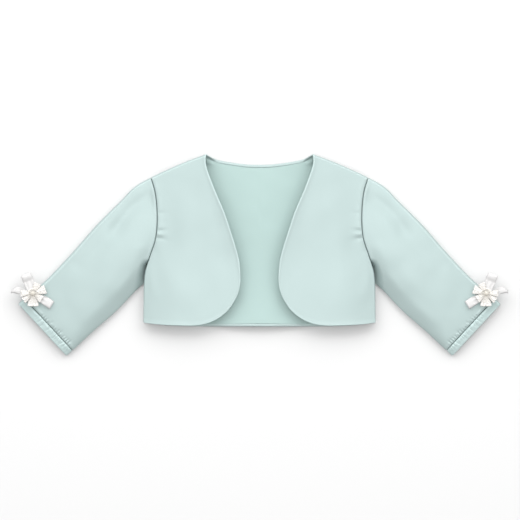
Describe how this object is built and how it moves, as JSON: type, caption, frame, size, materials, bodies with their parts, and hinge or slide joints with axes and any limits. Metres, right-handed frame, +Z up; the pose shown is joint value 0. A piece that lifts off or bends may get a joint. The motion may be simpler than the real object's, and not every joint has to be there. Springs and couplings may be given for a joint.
{
  "type": "bolero jacket",
  "caption": "Child's cropped satin bolero jacket laid flat, long set-in sleeves, rounded open fronts, lined back, and a lace flower with ribbon loops on each cuff.",
  "frame": {"origin": "on the surface that the garment lies on, under the middle of its bounding box", "axes": "+X across the sleeve span to the right of the picture, +Y towards the shoulders, +Z up off the surface"},
  "size_m": [0.5952, 0.2416, 0.0225],
  "materials": {
    "satin": "pale mint duchess satin, soft sheen",
    "lining": "pale mint satin lining, smooth",
    "ribbon": "white satin ribbon, glossy",
    "lace": "off-white guipure lace, matt",
    "pearl": "cream pearl bead, lustrous"
  },
  "bodies": {
    "root": {"back": "satin", "back_lining": "lining", "front_left": "satin", "front_right": "satin", "sleeve_left": "satin", "sleeve_right": "satin", "cuff_left": "satin", "cuff_right": "satin", "flower_left": "lace", "flower_right": "lace", "pearl_left": "pearl", "pearl_right": "pearl", "bow_up_left": "ribbon", "bow_up_right": "ribbon", "bow_out_left": "ribbon", "bow_out_right": "ribbon", "bow_in_left": "ribbon", "bow_in_right": "ribbon"}
  },
  "joints": []
}
